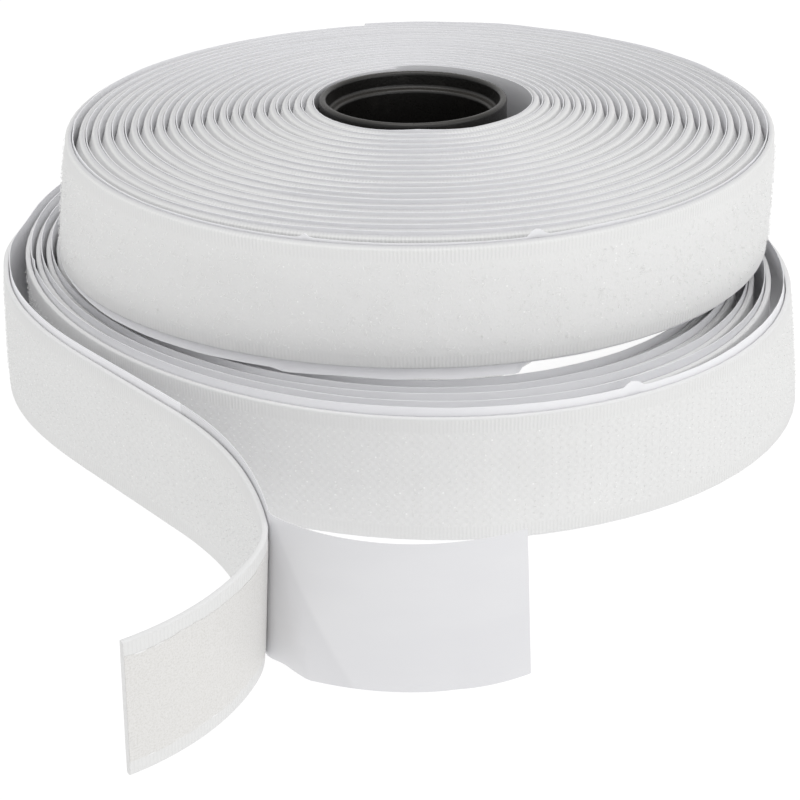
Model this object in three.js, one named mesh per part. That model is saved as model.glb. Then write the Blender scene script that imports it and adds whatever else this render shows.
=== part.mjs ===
// Hook and loop tape set: a roll of loop tape standing on a looser roll of hook tape.
// Each roll is a flat spiral of self-adhesive tape on a moulded core, wound with its release liner.
// The outer end of the hook tape is paid off the roll, and its liner is peeled from the last stretch.
// Units are millimetres, +Z is up, and the tape's edges stand on the floor at z = 0.
import * as THREE from "three";

// Tape laminate
const TAPE_WIDTH = 20; // woven tape, selvedge to selvedge
const TAPE_THICKNESS = 0.65; // woven base with its hooks or loops pressed flat
const ADHESIVE_THICKNESS = 0.2; // pressure-sensitive coat on the back of the tape
const ADHESIVE_MARGIN = 1.6; // bare selvedge left beside the coat
const LINER_OVERHANG = 1.4; // how far the release liner stands past the selvedge that faces the other roll
const LINER_MARGIN = 0.2; // how far it stands past the other selvedge
const LINER_THICKNESS = 0.15;
const LAYER_GAP = 0.1; // between layers that are modelled one by one
const SEAT_GAP = 0.3; // between pieces that rest on or butt against each other

// Moulded core
const CORE_BORE_RADIUS = 13.2; // hole for a peg or spindle
const CORE_LEDGE_WIDTH = 1.6; // ledge between the bore and the rim
const CORE_RIM_WIDTH = 1.4; // raised rim at each end
const CORE_RIM_HEIGHT = 2.2; // rim above the ledge
const CORE_EDGE_RADIUS = 0.5; // rounding of the rim
const CORE_SET_BACK = 0.6; // how far each end lies below the liner's edge
const CORE_STEPS = 48;

// Winding
const STEPS_PER_TURN = 24;
const LOOP_TURNS = 20;
const LOOP_GAP = 1.01; // air between turns, which the springy pile holds apart
const LOOP_DRIFT = new THREE.Vector2(0.6, -10.2); // how far the outer turn lies off the core's axis
const LOOP_OVAL = 1.3; // how far the outer turn bulges to both sides
const LOOP_START_BEARING = THREE.MathUtils.degToRad(100);
const HOOK_TIGHT_TURNS = 4;
const HOOK_TIGHT_GAP = 0.88;
const HOOK_LOOSE_TURNS = 5.5; // turns that have sprung open, up to where the tape leaves the roll
const HOOK_LOOSE_GAP = 1.25;
const HOOK_OPENING = 0.45; // share of a turn over which the winding has let go
const HOOK_SPRING_BACK = 31; // radius gained there
const HOOK_END_BEARING = THREE.MathUtils.degToRad(169); // where the tape leaves the roll
const HOOK_SLUMP = new THREE.Vector2(-5.6, -8.6); // how far the loose turns have slid off the core's axis
const HOOK_FAN = new THREE.Vector2(0.5, 0); // how far each loose turn lies from the one inside it
const HOOK_OVAL = 4.2; // how far the loose turns bulge along their long diagonal
const OVAL_BEARING = THREE.MathUtils.degToRad(-50); // long diagonal of the loose turns

// Free end of the hook tape
const LEAD_SWING_LENGTH = 61.6; // swinging wide of the roll
const LEAD_STRAIGHT_LENGTH = 23.5;
const LEAD_BEND_LENGTH = 34.5; // bending away from the roll, up to the peel line
const TAPE_FOLD_LENGTH = 7.9; // bending back just past the peel line
const TAPE_CURL_LENGTH = 25.6;
const LINER_FOLD_LENGTH = 4.9; // the fold at the peel line
const LINER_CURL_LENGTH = 33.4;
const RUN_STEP = 2.6; // distance between the points of a run

// The free end as runs of even curvature: length, and turn to the left in degrees
const LEAD_RUNS = [
  { length: LEAD_SWING_LENGTH, turn: 45.2 },
  { length: LEAD_STRAIGHT_LENGTH, turn: 0 },
  { length: LEAD_BEND_LENGTH, turn: -29.1 },
];
const TAPE_END_RUNS = [
  { length: TAPE_FOLD_LENGTH, turn: -26.8 },
  { length: TAPE_CURL_LENGTH, turn: -40.4 },
];
const LINER_END_RUNS = [
  { length: LINER_FOLD_LENGTH, turn: 41 },
  { length: LINER_CURL_LENGTH, turn: 68.6 },
];

// Sizes that follow from these
const LAMINATE_THICKNESS = TAPE_THICKNESS + ADHESIVE_THICKNESS + LINER_THICKNESS;
const LINER_WIDTH = TAPE_WIDTH + LINER_OVERHANG + LINER_MARGIN;
const LEDGE_RADIUS = CORE_BORE_RADIUS + CORE_LEDGE_WIDTH;
const CORE_RADIUS = LEDGE_RADIUS + CORE_RIM_WIDTH;
const COIL_START_RADIUS = CORE_RADIUS + SEAT_GAP + LAMINATE_THICKNESS / 2;
const LOOP_PITCH = LAMINATE_THICKNESS + LOOP_GAP;
const HOOK_TIGHT_PITCH = LAMINATE_THICKNESS + HOOK_TIGHT_GAP;
const HOOK_LOOSE_PITCH = LAMINATE_THICKNESS + HOOK_LOOSE_GAP;
const HOOK_TURNS = HOOK_TIGHT_TURNS + HOOK_LOOSE_TURNS;
const HOOK_START_BEARING = HOOK_END_BEARING - HOOK_TURNS * 2 * Math.PI;
const LOOP_ROLL_BASE = LINER_WIDTH + SEAT_GAP; // the upper roll stands on the lower one

const HOOK_FABRIC = { color: 0xe4e3e0, roughness: 0.85, metalness: 0 };
const LOOP_FABRIC = { color: 0xe6e5e3, roughness: 0.95, metalness: 0 };
const ADHESIVE = { color: 0xdedcd5, roughness: 0.4, metalness: 0 };
const LINER_FILM = { color: 0xe6e6ea, roughness: 0.3, metalness: 0 };
const CORE_PLASTIC = { color: 0x15130f, roughness: 0.45, metalness: 0 };

function named(name, geometry, look) {
  const mesh = new THREE.Mesh(geometry, new THREE.MeshStandardMaterial(look));
  mesh.name = name;
  return mesh;
}

// Unit vector to the left of a path at point i.
function leftOf(points, i) {
  const before = points[Math.max(i - 1, 0)];
  const after = points[Math.min(i + 1, points.length - 1)];
  return new THREE.Vector2(before.y - after.y, after.x - before.x).normalize();
}

// A strip standing on edge along a plan path: its sides lie at two offsets to the left of the path.
function strip(points, rightSide, leftSide, bottom, height) {
  const side = (offset) => points.map((p, i) => p.clone().addScaledVector(leftOf(points, i), offset));
  const outline = new THREE.Shape([...side(rightSide), ...side(leftSide).reverse()]);
  const geometry = new THREE.ExtrudeGeometry(outline, { depth: height, bevelEnabled: false });
  return geometry.translate(0, 0, bottom);
}

// The point at a distance along a heading.
function ahead(point, heading, distance) {
  return new THREE.Vector2(Math.cos(heading), Math.sin(heading)).multiplyScalar(distance).add(point);
}

// Points of a path made of runs, from a start point and heading.
function follow(start, startHeading, runs) {
  const points = [start.clone()];
  let heading = startHeading;
  for (const run of runs) {
    const steps = Math.ceil(run.length / RUN_STEP);
    const turn = THREE.MathUtils.degToRad(run.turn) / steps;
    for (let i = 0; i < steps; i++) {
      points.push(ahead(points.at(-1), heading + turn / 2, run.length / steps));
      heading += turn;
    }
  }
  return { points, heading };
}

// Points of a winding, where place(turns) gives the plan point after that many turns.
function wind(turns, place) {
  const steps = Math.round(turns * STEPS_PER_TURN);
  return Array.from({ length: steps + 1 }, (_, i) => place(i / STEPS_PER_TURN));
}

// The loop roll is wound evenly, and its turns sag to one side and flatten as they go out.
function loopTurn(turns) {
  const sag = turns / LOOP_TURNS;
  const bearing = LOOP_START_BEARING + turns * 2 * Math.PI;
  const radius = COIL_START_RADIUS + LOOP_PITCH * turns + LOOP_OVAL * sag * Math.cos(2 * bearing);
  return ahead(LOOP_DRIFT.clone().multiplyScalar(sag), bearing, radius);
}

// The hook roll is wound tight first. It then opens out, and its last turns lie loose, oval and off centre.
function hookTurn(turns) {
  const loose = Math.max(turns - HOOK_TIGHT_TURNS, 0);
  const opened = THREE.MathUtils.smoothstep(loose, 0, HOOK_OPENING);
  const bearing = HOOK_START_BEARING + turns * 2 * Math.PI;
  const oval = HOOK_OVAL * opened * Math.cos(2 * (bearing - OVAL_BEARING));
  const wound = COIL_START_RADIUS + HOOK_TIGHT_PITCH * (turns - loose);
  const radius = wound + HOOK_LOOSE_PITCH * loose + (HOOK_SPRING_BACK - HOOK_LOOSE_PITCH) * opened + oval;
  const centre = HOOK_SLUMP.clone().addScaledVector(HOOK_FAN, loose).multiplyScalar(opened);
  return ahead(centre, bearing, radius);
}

// Least clear distance between a winding's neighbouring turns, measured on its points.
function leastGap(points) {
  let least = Infinity;
  for (let i = 0; i + STEPS_PER_TURN / 2 < points.length; i++) {
    for (let j = i + STEPS_PER_TURN / 2; j < Math.min(i + 2 * STEPS_PER_TURN, points.length); j++) {
      least = Math.min(least, points[i].distanceTo(points[j]));
    }
  }
  return least - LAMINATE_THICKNESS;
}

function coil(name, points, look) {
  console.log(`${name}: least gap between turns ${leastGap(points).toFixed(2)} mm`);
  const half = LAMINATE_THICKNESS / 2;
  return named(name, strip(points, -half, half, 0, LINER_WIDTH), look);
}

// A short tube with a rounded rim and an inner ledge at both ends.
function core(name) {
  const low = CORE_SET_BACK;
  const high = LINER_WIDTH - CORE_SET_BACK;
  const lowLedge = low + CORE_RIM_HEIGHT;
  const highLedge = high - CORE_RIM_HEIGHT;
  const round = Math.min(CORE_EDGE_RADIUS, CORE_RIM_WIDTH / 2);
  const section = new THREE.Path();
  section.moveTo(CORE_RADIUS, low + round);
  section.lineTo(CORE_RADIUS, high - round);
  section.absarc(CORE_RADIUS - round, high - round, round, 0, Math.PI / 2);
  section.absarc(LEDGE_RADIUS + round, high - round, round, Math.PI / 2, Math.PI);
  section.lineTo(LEDGE_RADIUS, highLedge);
  section.lineTo(CORE_BORE_RADIUS + round, highLedge);
  section.lineTo(CORE_BORE_RADIUS, highLedge - round);
  section.lineTo(CORE_BORE_RADIUS, lowLedge + round);
  section.lineTo(CORE_BORE_RADIUS + round, lowLedge);
  section.lineTo(LEDGE_RADIUS, lowLedge);
  section.absarc(LEDGE_RADIUS + round, low + round, round, Math.PI, 1.5 * Math.PI);
  section.absarc(CORE_RADIUS - round, low + round, round, 1.5 * Math.PI, 2 * Math.PI);
  const profile = section.getPoints(1);
  profile.at(-1).copy(profile[0]);
  const geometry = new THREE.LatheGeometry(profile, CORE_STEPS);
  return named(name, geometry.rotateX(Math.PI / 2), CORE_PLASTIC);
}

// Hook roll
const hookPoints = wind(HOOK_TURNS, hookTurn);
const hookRoll = new THREE.Group();
hookRoll.add(core("hook_core"), coil("hook_coil", hookPoints, HOOK_FABRIC));

// Free end: the lead carries tape, adhesive and liner, and the two layers part at the peel line.
const coilEnd = hookPoints.at(-1);
const aroundEnd = [-1, 1].map((step) => hookTurn(HOOK_TURNS + step / STEPS_PER_TURN));
const coilHeading = aroundEnd[1].sub(aroundEnd[0]).angle();
const lead = follow(ahead(coilEnd, coilHeading, SEAT_GAP), coilHeading, LEAD_RUNS);

// Layer offsets to the left of the lead's middle: the hooks face right, away from the roll.
const hookFace = -LAMINATE_THICKNESS / 2 - LAYER_GAP;
const tapeBack = hookFace + TAPE_THICKNESS;
const coatFront = tapeBack + LAYER_GAP;
const coatBack = coatFront + ADHESIVE_THICKNESS;
const linerFront = coatBack + LAYER_GAP;
const linerBack = linerFront + LINER_THICKNESS;
const coatLift = LINER_MARGIN + ADHESIVE_MARGIN;
const coatWidth = TAPE_WIDTH - 2 * ADHESIVE_MARGIN;

const peelLine = lead.points.at(-1);
const pastPeel = ahead(peelLine, lead.heading, SEAT_GAP);
const tapeEnd = follow(pastPeel, lead.heading, TAPE_END_RUNS);
const linerEnd = follow(pastPeel, lead.heading, LINER_END_RUNS);

const freeEnd = new THREE.Group();
freeEnd.add(
  named("lead_tape", strip(lead.points, hookFace, tapeBack, LINER_MARGIN, TAPE_WIDTH), HOOK_FABRIC),
  named("lead_adhesive", strip(lead.points, coatFront, coatBack, coatLift, coatWidth), ADHESIVE),
  named("lead_liner", strip(lead.points, linerFront, linerBack, 0, LINER_WIDTH), LINER_FILM),
  named("peeled_tape", strip(tapeEnd.points, hookFace, tapeBack, LINER_MARGIN, TAPE_WIDTH), HOOK_FABRIC),
  named("peeled_adhesive", strip(tapeEnd.points, coatFront, coatBack, coatLift, coatWidth), ADHESIVE),
  named("peeled_liner", strip(linerEnd.points, linerFront, linerBack, 0, LINER_WIDTH), LINER_FILM),
);

// Loop roll
const loopRoll = new THREE.Group();
loopRoll.position.z = LOOP_ROLL_BASE;
loopRoll.add(core("loop_core"), coil("loop_coil", wind(LOOP_TURNS, loopTurn), LOOP_FABRIC));

// The part's origin is under the middle of its outline.
const tapeSet = new THREE.Group();
tapeSet.add(hookRoll, freeEnd, loopRoll);
const middle = new THREE.Box3().setFromObject(tapeSet).getCenter(new THREE.Vector3());
for (const section of [hookRoll, freeEnd, loopRoll]) {
  section.position.x -= middle.x;
  section.position.y -= middle.y;
}

export default tapeSet;
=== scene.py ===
"""Dressed model of a hook and loop tape set: a loop roll standing on a loosened hook roll."""

import logging
import math
import random
from dataclasses import dataclass, replace
from enum import Enum
from functools import partial
from typing import Callable, Sequence

import bmesh
import bpy
from mathutils import Matrix, Vector, noise


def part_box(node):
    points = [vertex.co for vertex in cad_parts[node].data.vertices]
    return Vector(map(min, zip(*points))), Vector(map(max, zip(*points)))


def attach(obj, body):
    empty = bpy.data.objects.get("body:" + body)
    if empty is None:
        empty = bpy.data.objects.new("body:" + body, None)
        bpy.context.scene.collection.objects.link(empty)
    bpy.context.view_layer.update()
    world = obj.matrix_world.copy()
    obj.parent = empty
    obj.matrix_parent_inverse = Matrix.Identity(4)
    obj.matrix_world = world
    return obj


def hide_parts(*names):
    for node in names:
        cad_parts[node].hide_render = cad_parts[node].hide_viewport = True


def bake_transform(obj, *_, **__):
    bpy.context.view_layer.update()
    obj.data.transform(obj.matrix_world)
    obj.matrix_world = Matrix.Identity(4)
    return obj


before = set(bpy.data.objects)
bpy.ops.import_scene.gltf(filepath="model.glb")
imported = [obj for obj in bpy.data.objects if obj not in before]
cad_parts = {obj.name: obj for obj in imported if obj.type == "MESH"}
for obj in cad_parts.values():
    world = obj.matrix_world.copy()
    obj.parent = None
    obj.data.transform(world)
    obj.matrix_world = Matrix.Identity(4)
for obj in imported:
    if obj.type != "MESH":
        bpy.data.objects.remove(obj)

LOG = logging.getLogger("tape_set")
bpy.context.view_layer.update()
MM = 0.001
UV_NAME = "strip"

Colour = tuple[float, float, float]
Place = Callable[[float], Vector]
Shift = tuple[float, float]
Wave = Callable[[float, float], Shift]
Swell = Callable[[float, float], float]
Keys = tuple[tuple[float, float], ...]


class Face(Enum):
    """What the worked side of a tape carries."""

    HOOKS = "hooks"
    LOOPS = "loops"


class Side(Enum):
    """Material index of each side of a strip."""

    WORKED = 0
    BACK = 1


# Finishes


class Graph:
    """Node tree of one material, with short calls for the nodes that the finishes share."""

    def __init__(self, name: str) -> None:
        """Starts a material with a principled shader.

        Args:
            name: the material's name.
        """
        self.material = bpy.data.materials.new(name)
        self.material.use_nodes = True
        self.tree = self.material.node_tree
        self.shader = self.tree.nodes["Principled BSDF"]

    def add(self, kind: str, inputs: dict | None = None, **settings: object) -> bpy.types.Node:
        """Adds a node.

        Args:
            kind: the node's type.
            inputs: values or sockets by input name or number.
            settings: the node's own properties.

        Returns:
            The new node.
        """
        node = self.tree.nodes.new(kind)
        for key, value in settings.items():
            setattr(node, key, value)
        for key, value in (inputs or {}).items():
            self.put(node.inputs[key], value)
        return node

    def put(self, socket: bpy.types.NodeSocket, value: object) -> None:
        """Links a socket to an input, or sets its value.

        Args:
            socket: the input.
            value: an output socket, a number or a vector.
        """
        if isinstance(value, bpy.types.NodeSocket):
            self.tree.links.new(value, socket)
        else:
            socket.default_value = value

    def set(self, **values: object) -> None:
        """Sets or links the shader's inputs, with spaces written as underscores."""
        for key, value in values.items():
            self.put(self.shader.inputs[key.replace("_", " ")], value)

    def math(self, operation: str, a: object, b: object = 0.0, c: object = 0.0) -> bpy.types.NodeSocket:
        """Returns the result of a Math node."""
        return self.add("ShaderNodeMath", {0: a, 1: b, 2: c}, operation=operation).outputs[0]

    def step(self, value: object, low: float, high: float) -> bpy.types.NodeSocket:
        """Returns a smooth step from 0 at low to 1 at high."""
        inputs = {"Value": value, "From Min": low, "From Max": high}
        return self.add("ShaderNodeMapRange", inputs, interpolation_type="SMOOTHSTEP").outputs[0]

    def mix(self, factor: object, a: object, b: object) -> bpy.types.NodeSocket:
        """Mixes two colours.

        Args:
            factor: share of the second colour.
            a: the first colour.
            b: the second colour.

        Returns:
            The mixed colour.
        """
        node = self.add("ShaderNodeMix", data_type="RGBA")
        for socket, value in zip((node.inputs[0], node.inputs[6], node.inputs[7]), (factor, a, b)):
            self.put(socket, value)
        return node.outputs[2]

    def noise(self, vector: object, scale: float, detail: float = 3.0) -> bpy.types.NodeSocket:
        """Returns a noise value from 0 to 1."""
        inputs = {"Vector": vector, "Scale": scale, "Detail": detail}
        return self.add("ShaderNodeTexNoise", inputs).outputs[0]

    def cells(self, vector: object, scale: float) -> tuple[bpy.types.NodeSocket, bpy.types.NodeSocket]:
        """Scatters points over a surface.

        Args:
            vector: the surface's coordinates.
            scale: points in each unit of them.

        Returns:
            The distance to the nearest point, and a number from 0 to 1 for that point.
        """
        node = self.add("ShaderNodeTexVoronoi", {"Vector": vector, "Scale": scale})
        number = self.add("ShaderNodeSeparateXYZ", {0: node.outputs["Color"]}).outputs[0]
        return node.outputs["Distance"], number

    def stretched(self, vector: object, scale: tuple[float, float, float]) -> bpy.types.NodeSocket:
        """Returns a vector scaled along its axes."""
        return self.add("ShaderNodeMapping", {"Vector": vector, "Scale": scale}).outputs[0]

    def strip_uv(self) -> tuple[bpy.types.NodeSocket, bpy.types.NodeSocket, bpy.types.NodeSocket]:
        """Reads the strip's own coordinates.

        Returns:
            The coordinates, the length along the strip and the height across it, in millimetres.
        """
        uv = self.add("ShaderNodeUVMap", uv_map=UV_NAME).outputs[0]
        parts = self.add("ShaderNodeSeparateXYZ", {0: uv})
        return uv, parts.outputs[0], parts.outputs[1]

    def object_mm(self) -> bpy.types.NodeSocket:
        """Returns Object coordinates in millimetres."""
        place = self.add("ShaderNodeTexCoord").outputs["Object"]
        return self.stretched(place, (1000, 1000, 1000))

    def bump(self, height: object, distance: float, strength: float = 1.0) -> None:
        """Bumps the shader's normal.

        Args:
            height: the height, from 0 to 1.
            distance: depth of a full step, in metres.
            strength: share of the bump that shows.
        """
        inputs = {"Height": height, "Distance": distance, "Strength": strength}
        self.set(Normal=self.add("ShaderNodeBump", inputs).outputs[0])


def rgba(colour: Colour) -> tuple[float, float, float, float]:
    """Returns a colour with full alpha."""
    return (*colour, 1.0)


@dataclass(frozen=True)
class WovenFinish:
    """White woven tape with ribbed selvedges and a worked field."""

    name: str
    face: Face
    colour: Colour
    # Darker colour: painted shade in the weave's hollows, and the dark end of a random drift of tone
    tone_and_hollow_shade: Colour
    # Painted shade along both edges of the tape, where they round off into the gaps between turns
    edge_shade: Colour
    width: float = 20.0
    selvedge: float = 2.3
    rib_pitch: float = 0.56
    row_pitch: float = 1.4
    column_pitch: float = 1.5
    edge_shade_width: float = 0.4
    blur: float = 0.3
    depth: float = 0.06 * MM
    glint: Colour = (0.98, 0.98, 0.975)

    def material(self) -> bpy.types.Material:
        """Builds the material.

        Returns:
            Ribs on the selvedges, and pile or hook rows with bright flecks between them.
        """
        g = Graph(self.name)
        uv, length, height = g.strip_uv()
        from_middle = g.math("ABSOLUTE", g.math("SUBTRACT", height, self.width / 2))
        edge = self.width / 2 - self.selvedge
        selvedge = g.step(from_middle, edge - self.blur, edge + self.blur)
        field = g.math("SUBTRACT", 1.0, selvedge)
        turn = g.math("MULTIPLY", length, 2 * math.pi / self.rib_pitch)
        rib = g.math("MULTIPLY_ADD", g.math("SINE", turn), 0.5, 0.5)
        crisp = g.step(g.noise(g.stretched(uv, (0.03, 0.0, 1.0)), 1.0, 2.0), 0.38, 0.62)
        rib = g.math("MULTIPLY", rib, g.math("MULTIPLY_ADD", crisp, 0.75, 0.25))
        # Painted shade: a narrow band along both edges of the tape is darkened and its relief flattened.
        edge_shade = g.step(from_middle, self.width / 2 - self.edge_shade_width, self.width / 2)
        fibre = g.noise(g.stretched(uv, (1.0, 0.45, 1.0)), 4.2, 4.0)
        cloud = g.noise(g.stretched(uv, (0.05, 0.12, 1.0)), 1.0, 2.0)
        pile = self.pile(g, uv, length, height)
        relief = g.math("ADD", g.math("MULTIPLY", rib, selvedge), g.math("MULTIPLY", pile, field))
        relief = g.math("MULTIPLY_ADD", fibre, 0.6, relief)
        relief = g.math("MULTIPLY", relief, g.math("MULTIPLY_ADD", edge_shade, -0.75, 1.0))
        # Painted shade: the low spots of the ribs, pile and fibres take the darker colour, mixed with a
        # random drift of tone.
        tone = g.math("MULTIPLY_ADD", cloud, 0.35, g.math("MULTIPLY", relief, 0.42))
        colour = g.mix(g.step(tone, 0.12, 0.85), rgba(self.tone_and_hollow_shade), rgba(self.colour))
        fleck = g.math("MULTIPLY", self.flecks(g, uv), field)
        colour = g.mix(edge_shade, colour, rgba(self.edge_shade))
        g.set(Base_Color=g.mix(fleck, colour, rgba(self.glint)))
        g.set(Roughness=g.math("MULTIPLY_ADD", fleck, -0.5, 0.82))
        g.set(Sheen_Weight=0.15, Sheen_Roughness=0.5, Specular_IOR_Level=0.3)
        g.bump(relief, self.depth)
        return g.material

    def pile(self, g: Graph, uv: object, length: object, height: object) -> bpy.types.NodeSocket:
        """Works out the relief of the worked field.

        Args:
            g: the material's nodes.
            uv: the strip's coordinates.
            length: the same along the strip.
            height: the same across it.

        Returns:
            The height of the brushed loops, or of the floor between hooks.
        """
        if self.face is Face.LOOPS:
            return g.noise(uv, 2.1, 6.0)
        along = g.math("SINE", g.math("MULTIPLY", length, 2 * math.pi / self.row_pitch))
        across = g.math("SINE", g.math("MULTIPLY", height, 2 * math.pi / self.column_pitch))
        weave = g.math("MULTIPLY", along, across)
        return g.math("MULTIPLY_ADD", weave, 0.25, g.noise(uv, 1.6, 5.0))

    def flecks(self, g: Graph, uv: object) -> bpy.types.NodeSocket:
        """Returns bright flecks, 0 or 1, where single yarns catch the light."""
        distance, number = g.cells(uv, 1.15)
        return g.math("MULTIPLY", g.step(distance, 0.2, 0.08), g.math("GREATER_THAN", number, 0.86))


@dataclass(frozen=True)
class YarnFinish:
    """Clear white monofilament that glints where it bends."""

    name: str
    colour: Colour
    shade: Colour
    roughness: float = 0.3

    def material(self) -> bpy.types.Material:
        """Builds the material.

        Returns:
            A glossy white, with some yarns duller than others.
        """
        g = Graph(self.name)
        dull = g.noise(g.object_mm(), 0.9, 2.0)
        g.set(Base_Color=g.mix(g.step(dull, 0.35, 0.65), rgba(self.shade), rgba(self.colour)))
        g.set(Roughness=g.math("MULTIPLY_ADD", dull, 0.3, self.roughness - 0.12))
        g.set(Specular_IOR_Level=0.6)
        return g.material


@dataclass(frozen=True)
class FilmFinish:
    """Smooth, faintly blue release film."""

    name: str
    colour: Colour
    shade: Colour
    roughness: float = 0.4
    width: float = 21.6
    fold: float | None = None
    # Painted shade past the fold: where its slanted band starts, its slant, how far it reaches and how much
    # darker it is
    crease_start: float = 2.0
    crease_slant: float = 13.0
    crease_shade_reach: float = 9.0
    crease_shade_depth: float = 0.05
    depth: float = 0.2 * MM

    def material(self) -> bpy.types.Material:
        """Builds the material.

        Returns:
            A satin film with a slow drift of tone, a faint ripple and painted shade in a slanted band past
            the fold.
        """
        g = Graph(self.name)
        uv, length, height = g.strip_uv()
        drift = g.noise(g.stretched(uv, (0.03, 0.08, 1.0)), 1.0, 3.0)
        colour = g.mix(g.step(drift, 0.3, 0.75), rgba(self.shade), rgba(self.colour))
        if self.fold is not None:
            # Painted shade: a slanted band past the fold takes a darker colour, standing in for the shading
            # of the liner's crease.
            foot = self.fold + self.crease_start + self.crease_slant
            line = g.math("MULTIPLY_ADD", height, -self.crease_slant / self.width, foot)
            before = g.math("SUBTRACT", line, length)
            crease_shade = g.math("MULTIPLY", g.step(before, -0.6, 0.6), g.step(before, self.crease_shade_reach, 0.0))
            crease_shade_colour = tuple(self.shade[i] * (1 - self.crease_shade_depth) for i in range(3))
            colour = g.mix(g.math("MULTIPLY", crease_shade, 0.8), colour, rgba(crease_shade_colour))
        g.set(Base_Color=colour)
        smear = g.noise(g.stretched(uv, (0.25, 0.9, 1.0)), 1.0, 4.0)
        g.set(Roughness=g.math("MULTIPLY_ADD", smear, 0.16, self.roughness - 0.08), Specular_IOR_Level=0.35)
        g.bump(g.noise(g.stretched(uv, (0.12, 0.3, 1.0)), 1.0, 2.0), self.depth, 0.4)
        return g.material


@dataclass(frozen=True)
class CoatFinish:
    """Tacky coat of adhesive over a woven back."""

    name: str
    colour: Colour
    speck: Colour
    width: float = 20.0
    reach: float = 7.6
    rib_pitch: float = 0.56
    depth: float = 0.06 * MM
    glint: Colour = (0.98, 0.98, 0.98)

    def material(self) -> bpy.types.Material:
        """Builds the material.

        Returns:
            A warm speckle under a soft gloss, with painted glints in dashes along its edges.
        """
        g = Graph(self.name)
        uv, length, height = g.strip_uv()
        grain = g.noise(uv, 4.2, 5.0)
        cells = g.cells(uv, 3.6)[0]
        speckle = g.math("MULTIPLY", g.step(cells, 0.25, 0.6), g.step(grain, 0.35, 0.7))
        colour = g.mix(speckle, rgba(self.colour), rgba(self.speck))
        from_middle = g.math("ABSOLUTE", g.math("SUBTRACT", height, self.width / 2))
        # Painted highlight: short dashes near the coat's edges take a near-white colour and less roughness,
        # as glints.
        glint_cells, chosen = g.cells(g.stretched(uv, (0.45, 2.2, 1.0)), 1.0)
        edge_glint = g.math("MULTIPLY", g.step(glint_cells, 0.5, 0.3), g.math("GREATER_THAN", chosen, 0.45))
        edge_glint = g.math("MULTIPLY", edge_glint, g.step(from_middle, self.reach, self.reach + 0.35))
        g.set(Base_Color=g.mix(edge_glint, colour, rgba(self.glint)))
        dull = g.math("MULTIPLY_ADD", grain, 0.22, 0.36)
        g.set(Roughness=g.math("MULTIPLY_ADD", edge_glint, -0.25, dull))
        g.set(Specular_IOR_Level=0.5, Coat_Weight=0.12, Coat_Roughness=0.25)
        rib = g.math("SINE", g.math("MULTIPLY", length, 2 * math.pi / self.rib_pitch))
        relief = g.math("MULTIPLY_ADD", rib, 0.12, grain)
        g.bump(g.math("ADD", relief, edge_glint), self.depth)
        return g.material


@dataclass(frozen=True)
class MouldedFinish:
    """Dark moulded plastic, paler in random patches and painted paler where it faces up, as a highlight on
    its upper faces.
    """

    name: str
    colour: Colour
    highlight_and_patches: Colour
    roughness: float = 0.36
    depth: float = 0.04 * MM

    def material(self) -> bpy.types.Material:
        """Builds the material.

        Returns:
            A dark plastic with a fine grain, paler in random patches and painted paler where it faces up,
            standing in for the highlight on its upper faces.
        """
        g = Graph(self.name)
        place = g.object_mm()
        normal = g.add("ShaderNodeTexCoord").outputs["Normal"]
        # Painted highlight: faces that point up take the paler colour; random patches also pale it.
        upward = g.step(g.add("ShaderNodeSeparateXYZ", {0: normal}).outputs[2], 0.3, 0.9)
        patches = g.math("MULTIPLY", g.step(g.noise(place, 0.35, 5.0), 0.5, 0.8), 0.25)
        highlight_and_patch_mask = g.math("MULTIPLY_ADD", upward, 0.75, patches)
        g.set(Base_Color=g.mix(highlight_and_patch_mask, rgba(self.colour), rgba(self.highlight_and_patches)))
        grain = g.noise(place, 2.5, 4.0)
        g.set(Roughness=g.math("MULTIPLY_ADD", grain, 0.16, self.roughness - 0.06))
        g.set(Specular_IOR_Level=0.5)
        g.bump(grain, self.depth)
        return g.material


@dataclass(frozen=True)
class StageFinish:
    """Plain white floor that glows softly, like a light table."""

    name: str = "pale_floor"
    colour: Colour = (0.14, 0.14, 0.14)
    glow: float = 0.91

    def material(self) -> bpy.types.Material:
        """Builds the material.

        Returns:
            A matt white that gives off its own light.
        """
        g = Graph(self.name)
        g.set(Base_Color=rgba(self.colour), Roughness=0.9, Specular_IOR_Level=0.1)
        g.set(Emission_Color=(1.0, 1.0, 1.0, 1.0), Emission_Strength=self.glow)
        return g.material


LOOP_FABRIC = WovenFinish(
    "loop_fabric", Face.LOOPS, (0.845, 0.845, 0.84), (0.79, 0.79, 0.785), (0.66, 0.66, 0.67),
)
HOOK_FABRIC = WovenFinish(
    "hook_fabric", Face.HOOKS, (0.84, 0.84, 0.835), (0.775, 0.775, 0.77), (0.80, 0.80, 0.80),
)
LOOP_YARN = YarnFinish("loop_yarn", (0.93, 0.93, 0.925), (0.87, 0.87, 0.865), 0.42)
HOOK_YARN = YarnFinish("hook_yarn", (0.91, 0.91, 0.905), (0.82, 0.82, 0.815), 0.28)
# Two copies of one release film: the wound liner's copy is painted lighter, standing in for light let
# through the thin film into the gaps between turns; the peeled end's copy is darker.
LIT_LINER_FILM = FilmFinish("lit_liner_film", (0.93, 0.93, 0.95), (0.90, 0.90, 0.925))
PEELED_FILM = FilmFinish("peeled_film", (0.80, 0.80, 0.815), (0.765, 0.765, 0.785))
ADHESIVE = CoatFinish("adhesive_coat", (0.79, 0.78, 0.765), (0.70, 0.69, 0.665))
CORE_PLASTIC = MouldedFinish("core_plastic", (0.007, 0.0064, 0.0058), (0.034, 0.031, 0.027), 0.28)


# Routes


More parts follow.
